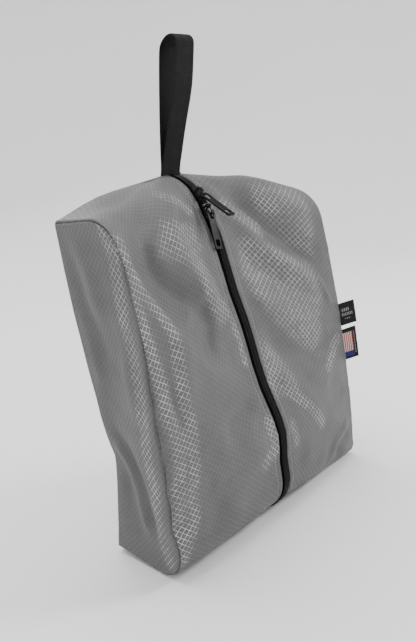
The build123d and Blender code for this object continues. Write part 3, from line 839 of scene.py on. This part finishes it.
def gusset_binding(name, side, material):
    """Tape folded over the seam's raw edges, inside the bag all round the gusset."""
    rim = gusset_rim(side)
    depth = np.where(rim[2], SEAM, seam_depth(side, rim[0][:, 1], rim[0][:, 0]))
    middle = rim_inset(rim, depth + 1.0 + BINDING_WIDTH / 2)
    middle = middle[spaced(middle, 2.0) + [0]]
    path = np.column_stack([np.full(len(middle), side * (HALF_WIDTH - SEAM - 1.6)), middle])
    sideways = np.cross(unit(np.gradient(path, axis=0)), (1, 0, 0))
    return binding(name, slump(path), sideways, material)


def back_binding(name, side, at_top, material):
    """Tape over the raw edges of one of the back's seams, on one side of the loop's tails."""
    inset = SEAM + 2.0 + BINDING_WIDTH / 2
    rows = []
    for x in np.linspace(16.0, HALF_WIDTH - 6.0, 60):
        low, high = back_edges(side * x)
        rows.append((side * x, BACK_Y - SEAM - 1.6, high - inset if at_top else low + inset))
    return binding(name, slump(np.array(rows)), np.array([0.0, 0.0, 1.0]), material)


# ---- materials


class Nodes:
    """Builds a material's node tree with short calls."""

    def __init__(self, name):
        self.material = bpy.data.materials.new(name)
        self.material.use_nodes = True
        self.tree = self.material.node_tree
        self.shader = self.tree.nodes["Principled BSDF"]

    def add(self, kind, inputs=None, **settings):
        node = self.tree.nodes.new("ShaderNode" + kind)
        for key, value in settings.items():
            setattr(node, key, value)
        for key, value in (inputs or {}).items():
            self.put(node.inputs[key], value)
        return node

    def put(self, socket, value):
        if isinstance(value, bpy.types.NodeSocket):
            self.tree.links.new(value, socket)
        else:
            socket.default_value = value

    def math(self, operation, a, b=0.0, c=0.0, clamp=False):
        node = self.add("Math", {0: a, 1: b, 2: c}, operation=operation, use_clamp=clamp)
        return node.outputs[0]

    def times(self, a, b):
        return self.math("MULTIPLY", a, b)

    def plus(self, a, b):
        return self.math("ADD", a, b)

    def step(self, value, low, high):
        """Smooth 0 to 1 as value goes from low to high."""
        node = self.add("MapRange", {0: value, 1: low, 2: high}, interpolation_type="SMOOTHSTEP")
        return node.outputs[0]

    def window(self, value, low, high, soft):
        """1 between low and high, with soft edges."""
        rise = self.step(value, low - soft, low + soft)
        return self.math("SUBTRACT", rise, self.step(value, high - soft, high + soft))

    def mix(self, factor, a, b):
        node = self.add("Mix", data_type="RGBA")
        for index, value in ((0, factor), (6, a), (7, b)):
            self.put(node.inputs[index], value)
        return node.outputs[2]

    def noise(self, vector, scale, detail=2.0, roughness=0.5):
        inputs = {"Vector": vector, "Scale": scale, "Detail": detail, "Roughness": roughness}
        return self.add("TexNoise", inputs).outputs[0]

    def wave(self, value, pitch):
        """0 to 1 and back, once a pitch."""
        sine = self.math("SINE", self.times(value, 2 * math.pi / pitch))
        return self.math("MULTIPLY_ADD", sine, 0.5, 0.5)

    def bump(self, height, distance, strength):
        inputs = {"Height": height, "Distance": distance, "Strength": strength}
        return self.add("Bump", inputs).outputs[0]

    def cloth(self):
        """The piece's own flat coordinates, in mm, and them as a vector for noise."""
        x, y, z = self.split(self.add("Attribute", attribute_name="cloth").outputs["Vector"])
        return x, y, z, self.add("CombineXYZ", {0: x, 1: y}).outputs[0]

    def split(self, vector):
        return self.add("SeparateXYZ", {0: vector}).outputs

    def object_space(self):
        return self.add("TexCoord").outputs["Object"]

    def finish(self, **sockets):
        for key, value in sockets.items():
            self.put(self.shader.inputs[key.replace("_", " ")], value)
        return self.material


def grey(value, warmth=0.0):
    return (value * (1 + warmth), value, value * (1 - warmth), 1)


RIPSTOP_PITCH = 4.7


def ripstop():
    """Coated nylon: a raised diamond grid of thick threads over a fine plain weave. Its colour also carries
    painted highlights on the threads and painted shade at the rolled left seam.
    """
    m = Nodes("ripstop_fabric")
    u, v, shine, flat = m.cloth()
    wander = m.times(m.math("SUBTRACT", m.noise(flat, 0.3), 0.5), 0.12)
    a = m.plus(m.times(m.plus(u, v), 0.70711 / RIPSTOP_PITCH), wander)
    b = m.plus(m.times(m.math("SUBTRACT", u, v), 0.70711 / RIPSTOP_PITCH), wander)

    def threads(value, half_width):
        off = m.math("ABSOLUTE", m.math("SUBTRACT", m.math("FRACT", value), 0.5))
        return m.math("SUBTRACT", 1.0, m.step(off, half_width * 0.5, half_width * 1.3))

    thick_a, thick_b = threads(a, 0.075), threads(b, 0.075)
    grid = m.math("MAXIMUM", thick_a, thick_b)
    half = m.math("MAXIMUM", threads(m.plus(a, 0.5), 0.045), threads(m.plus(b, 0.5), 0.045))
    knot = m.times(thick_a, thick_b)
    weave = m.times(m.wave(a, 1 / 9), m.wave(b, 1 / 9))
    raised = m.plus(m.plus(grid, m.times(knot, 0.35)), m.plus(m.times(half, 0.35), m.times(weave, 0.25)))
    slub = m.noise(flat, 0.08, 4.0, 0.6)
    grime = m.noise(flat, 0.011, 3.0)
    tone = m.plus(m.times(slub, 0.5), m.times(grime, 0.5))
    ground = m.mix(m.step(tone, 0.35, 0.65), grey(0.068, -0.010), grey(0.086, -0.008))
    # painted shade: negative shine darkens the ground and the threads where the left front seam is rolled
    # under
    shade = m.math("MULTIPLY", shine, -0.75, clamp=True)
    ground = m.mix(shade, ground, grey(0.006))
    # painted highlights: positive shine brightens the grid threads, broken up cell by cell, in place of
    # glints of light
    cell = m.add("CombineXYZ", {0: m.math("FLOOR", a), 1: m.math("FLOOR", b)}).outputs[0]
    lit = m.add("TexWhiteNoise", {"Vector": cell}).outputs["Value"]
    speckle = m.step(m.plus(m.times(lit, 0.5), m.noise(flat, 0.3, 2.0)), 0.40, 0.95)
    painted_glint = m.times(m.math("MULTIPLY", shine, 1.0, clamp=True), m.math("MULTIPLY_ADD", speckle, 0.65, 0.35))
    bright = m.math("MULTIPLY_ADD", painted_glint, 0.93, 0.05)
    bright = m.times(bright, m.math("SUBTRACT", 1.0, shade))
    colour = m.mix(m.times(grid, bright), ground, grey(0.52))
    colour = m.mix(m.times(half, m.math("MULTIPLY_ADD", painted_glint, 0.12, 0.03)), colour, grey(0.40))
    rough = m.math("SUBTRACT", m.math("MULTIPLY_ADD", slub, 0.14, 0.52), m.times(grid, 0.2))
    return m.finish(Base_Color=colour, Roughness=rough, Normal=m.bump(raised, 0.00024, 0.85),
                    Specular_IOR_Level=0.42, Sheen_Weight=0.06, Sheen_Roughness=0.5)


def woven(name, colour, pale, rib_pitch, cord_pitch, stripes=0.0, depth=0.00018):
    """Woven tape or webbing: ribs across it, cords along it, and its loose fibres."""
    m = Nodes(name)
    x, y, _, flat = m.cloth()
    ribs, cords = m.wave(y, rib_pitch), m.wave(x, cord_pitch)
    shifted = m.wave(m.plus(y, m.times(m.math("GREATER_THAN", cords, 0.5), rib_pitch / 2)), rib_pitch)
    weave = m.times(shifted, m.math("MULTIPLY_ADD", cords, 0.6, 0.4))
    fibre = m.noise(flat, 3.2, 4.0, 0.65)
    along = m.wave(x, 2.1)
    height = m.plus(m.plus(weave, m.times(fibre, 0.5)), m.times(along, stripes))
    height = m.plus(height, m.times(ribs, 0.25))
    worn = m.step(m.noise(flat, 0.06, 3.0, 0.6), 0.42, 0.7)
    shade = m.plus(m.times(weave, 0.5), m.times(fibre, 0.5))
    shade = m.math("POWER", m.times(shade, m.math("MULTIPLY_ADD", worn, 0.12, 0.72)), 1.7)
    return m.finish(Base_Color=m.mix(shade, colour, pale), Roughness=0.75, Specular_IOR_Level=0.1,
                    Normal=m.bump(height, depth, 0.8), Sheen_Weight=0.01, Sheen_Roughness=0.4)


def moulded(name, colour, worn_colour, roughness, specular):
    """Nylon or enamelled metal with a slightly uneven skin, rubbed paler in patches and along edges."""
    m = Nodes(name)
    place = m.object_space()
    uneven = m.noise(place, 700.0, 4.0, 0.6)
    scuffs = m.noise(place, 240.0, 5.0, 0.7)
    edge = m.add("Bevel", {"Radius": 0.0005}, samples=6).outputs[0]
    facing = m.add("NewGeometry").outputs["Normal"]
    bend = m.add("VectorMath", {0: edge, 1: facing}, operation="DOT_PRODUCT").outputs["Value"]
    rim = m.math("SUBTRACT", 1.0, m.step(bend, 0.80, 0.985))
    rubbed = m.times(m.step(m.plus(scuffs, m.times(rim, 0.28)), 0.60, 0.82), 0.5)
    rough = m.math("SUBTRACT", m.math("MULTIPLY_ADD", uneven, 0.24, roughness - 0.10), m.times(rubbed, 0.12))
    return m.finish(Base_Color=m.mix(rubbed, colour, worn_colour), Roughness=rough,
                    Specular_IOR_Level=specular, Normal=m.bump(uneven, 0.00005, 0.6))


def thread_material(name, colour, pale):
    m = Nodes(name)
    place = m.object_space()
    x, y, z = m.split(place)
    ply = m.wave(m.plus(m.plus(y, z), x), 0.0006)
    shade = m.times(m.plus(ply, m.noise(place, 3000.0)), 0.5)
    return m.finish(Base_Color=m.mix(shade, colour, pale), Roughness=0.6, Normal=m.bump(ply, 0.00005, 0.6),
                    Sheen_Weight=0.2)


def ribbon(name, height):
    """Starts a woven ribbon's material: its nodes, place across and up it, fibre, weave and black ground."""
    m = Nodes(name)
    u, v, _, _ = m.cloth()
    fibre = m.noise(m.add("CombineXYZ", {0: u, 1: m.times(v, height)}).outputs[0], 2.2, 4.0, 0.7)
    weave = m.times(m.wave(u, 0.5), m.wave(v, 0.012))
    ground = m.mix(m.times(m.plus(weave, fibre), 0.5), grey(0.004), grey(0.016))
    return m, u, v, fibre, weave, ground


def finish_ribbon(m, colour, raised, depth):
    return m.finish(Base_Color=colour, Roughness=0.62, Normal=m.bump(raised, depth, 0.8),
                    Specular_IOR_Level=0.2, Sheen_Weight=0.03)


def label_black():
    """Black woven ribbon with pale woven bars and dots in place of lettering."""
    m, u, v, fibre, weave, ground = ribbon("label_black", 27.0)

    def bars(u0, u1, v0, v1, pitch, ragged):
        inside = m.times(m.window(u, u0, u1, 0.2), m.window(v, v0, v1, 0.012))
        blocks = m.math("GREATER_THAN", m.wave(m.plus(u, m.times(fibre, ragged)), pitch), 0.42)
        return m.times(inside, blocks)

    marks = m.math("MAXIMUM", bars(2.5, 12.5, 0.60, 0.74, 2.3, 1.6), bars(2.5, 15.5, 0.40, 0.53, 1.9, 1.3))
    marks = m.math("MAXIMUM", marks, bars(6.0, 12.5, 0.24, 0.29, 2.7, 0.0))
    colour = m.mix(m.times(marks, m.math("MULTIPLY_ADD", fibre, 0.8, 0.2)), ground, grey(0.42))
    return finish_ribbon(m, colour, m.plus(weave, marks), 0.00012)


def label_striped():
    """Black-edged woven ribbon: red and pale bands up it, and a dark blue band across its lower end."""
    m, u, v, fibre, weave, ground = ribbon("label_printed", 38.0)
    red = m.mix(fibre, (0.34, 0.030, 0.028, 1), (0.46, 0.085, 0.070, 1))
    pale = m.mix(fibre, (0.50, 0.44, 0.42, 1), (0.66, 0.60, 0.57, 1))
    blue = m.mix(fibre, (0.012, 0.014, 0.095, 1), (0.030, 0.032, 0.150, 1))
    bands = m.mix(m.math("GREATER_THAN", m.wave(m.plus(u, 0.55), 2.25), 0.45), pale, red)
    across = m.window(u, -2.0, 11.8, 0.12)
    inside = m.times(across, m.window(v, 0.08, 0.87, 0.006))
    bands = m.mix(m.times(across, m.window(v, 0.0, 0.24, 0.006)), bands, blue)
    colour = m.mix(inside, ground, bands)
    ticks = m.math("GREATER_THAN", m.wave(m.plus(v, m.times(fibre, 0.02)), 0.05), 0.4)
    edge_row = m.times(m.times(m.window(u, 13.2, 14.4, 0.15), m.window(v, 0.14, 0.86, 0.01)), ticks)
    colour = m.mix(m.times(edge_row, m.math("MULTIPLY_ADD", fibre, 0.8, 0.15)), colour, grey(0.40))
    return finish_ribbon(m, colour, m.plus(weave, inside), 0.0001)


# ---- camera, light and floor


def camera():
    """Stands to the front left of the bag, a little above it, and leans to one side."""
    azimuth, pitch, roll = math.radians(41.56), math.radians(12.0), math.radians(-9.13)
    ahead = Vector((math.sin(azimuth) * math.cos(pitch), math.cos(azimuth) * math.cos(pitch),
                    -math.sin(pitch)))
    level = Vector((math.cos(azimuth), -math.sin(azimuth), 0))
    above = level.cross(ahead)
    right = level * math.cos(roll) + above * math.sin(roll)
    up = above * math.cos(roll) - level * math.sin(roll)
    data = bpy.data.cameras.new("camera")
    data.sensor_width, data.lens = 36.0, 33.66
    data.clip_start, data.clip_end = 0.01, 50
    item = bpy.data.objects.new("camera", data)
    bpy.context.scene.collection.objects.link(item)
    where = Vector(place((-434.4, -469.1, 350.6))[0])
    item.matrix_world = Matrix.Translation(where) @ Matrix((right, up, -ahead)).transposed().to_4x4()
    bpy.context.scene.camera = item


def area_light(name, where, size, power):
    data = bpy.data.lights.new(name, "AREA")
    data.shape, data.size, data.size_y, data.energy = "RECTANGLE", size[0], size[1], power
    item = bpy.data.objects.new(name, data)
    bpy.context.scene.collection.objects.link(item)
    item.location = where
    item.rotation_euler = (Vector((0, 0, 0.2)) - Vector(where)).to_track_quat("-Z", "Y").to_euler()


def studio():
    area_light("key", (1.5, -1.3, 1.5), (0.6, 0.6), 36)
    area_light("top", (0.1, 0.5, 2.6), (2.4, 2.4), 74)
    area_light("low_left", (-2.0, -0.4, 0.9), (1.2, 1.4), 3)
    area_light("behind", (0.4, 2.2, 1.4), (1.4, 1.2), 14)
    world = bpy.data.worlds.new("studio")
    bpy.context.scene.world = world
    world.use_nodes = True
    world.node_tree.nodes["Background"].inputs[0].default_value = (1, 1, 1, 1)
    world.node_tree.nodes["Background"].inputs[1].default_value = 0.42


def studio_floor():
    """A pale floor that curves up into a wall all round, so that no horizon shows."""
    flat, cove, wall, turns = 1800.0, 1400.0, 2600.0, 96
    section = [(r, 0.0) for r in (0.5, 300.0, 700.0, 1200.0, flat)]
    for angle in np.radians(np.linspace(6, 90, 15)):
        section.append((flat + cove * math.sin(angle), cove * (1 - math.cos(angle))))
    section.append((flat + cove, wall))
    points = [(r * math.cos(t), r * math.sin(t), z - 0.05) for r, z in section
              for t in np.linspace(0, 2 * math.pi, turns, endpoint=False)]
    m = Nodes("studio_floor")
    haze = m.noise(m.object_space(), 1.5, 2.0)
    material = m.finish(Base_Color=m.mix(haze, grey(0.90), grey(0.93)), Roughness=0.9)
    mesh_piece("studio_floor", points, grid_faces(len(section), turns, closed=True), material)


# ---- build


def on_bag(piece, slot, *nodes, body="bag"):
    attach(piece, body)
    if nodes:
        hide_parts(*nodes)


def build_cloth():
    cloth = ripstop()
    thread = thread_material("thread_grey", grey(0.26), grey(0.48))
    for name, side in SIDES.items():
        panel, (line, normals) = body_panel(f"cloth_body_{name}", side, cloth)
        on_bag(panel, "ripstop_fabric", f"body_panel_{name}")
        on_bag(gusset(f"cloth_gusset_{name}", side, cloth), "ripstop_fabric", f"gusset_{name}")
        on_bag(stitches(f"topstitch_{name}", line, normals, thread), "ripstop_fabric")
    on_bag(back_panel("cloth_back", cloth), "ripstop_fabric", "back_panel")


def build_bindings():
    tape = woven("binding_tape", grey(0.012), grey(0.040), 1.1, 0.9)
    for name, side in SIDES.items():
        piece = gusset_binding(f"seam_binding_{name}", side, tape)
        on_bag(piece, "binding_tape", f"gusset_binding_{name}")
        for edge in ("top", "bottom"):
            piece = back_binding(f"seam_tape_{edge}_{name}", side, edge == "top", tape)
            on_bag(piece, "binding_tape", f"back_binding_{edge}_{name}")


def build_zipper():
    tape = woven("zipper_tape", grey(0.0015), grey(0.014), 0.9, 0.7, stripes=0.5)
    nylon = moulded("zipper_coil", grey(0.002), grey(0.03), 0.42, specular=0.18)
    metal = moulded("slider_metal", grey(0.003), grey(0.24), 0.30, specular=0.14)
    for name, side in SIDES.items():
        on_bag(zipper_tape(f"zip_tape_{name}", side, tape), "zipper_tape", f"zipper_tape_{name}")
        on_bag(zipper_coil(f"zip_coil_{name}", side, nylon), "zipper_coil", f"zipper_coil_{name}")
    for name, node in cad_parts.items():
        if "slider" in name or "pull" in name or "stop" in name:
            node.data.materials.clear()
            node.data.materials.append(metal)
            edges = node.modifiers.new("edges", "BEVEL")
            edges.width, edges.segments, edges.limit_method = 0.00028, 2, "ANGLE"
            edges.angle_limit = math.radians(35)


def build_loop():
    material = woven("webbing", grey(0.0015), grey(0.060), RIB_PITCH, CORD_PITCH, depth=0.0005)
    loop = webbing("webbing_loop", loop_path(), material)
    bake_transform(loop)
    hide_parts("carrying_loop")
    for n, offset in enumerate((-0.78, 0.78)):
        heights = np.linspace(376.0, 352.5, 30)
        tail = [(0, LOOP_FOOT[1] + offset - 1.6 * smooth(0, 8, 376.0 - z), z) for z in heights]
        piece = webbing(f"webbing_tail_{n}", tail, material)
        on_bag(piece, "webbing", *(["loop_tails"] if n == 0 else []))


def build_labels():
    labels = (("label_upper", "label_black", label_black()),
              ("label_lower", "label_printed", label_striped()))
    for name, slot, material in labels:
        piece = label(name, material)
        piece.name = f"ribbon_{name}"
        on_bag(piece, slot, name)


def main():
    camera()
    studio()
    studio_floor()
    build_cloth()
    build_bindings()
    build_zipper()
    build_loop()
    build_labels()


main()
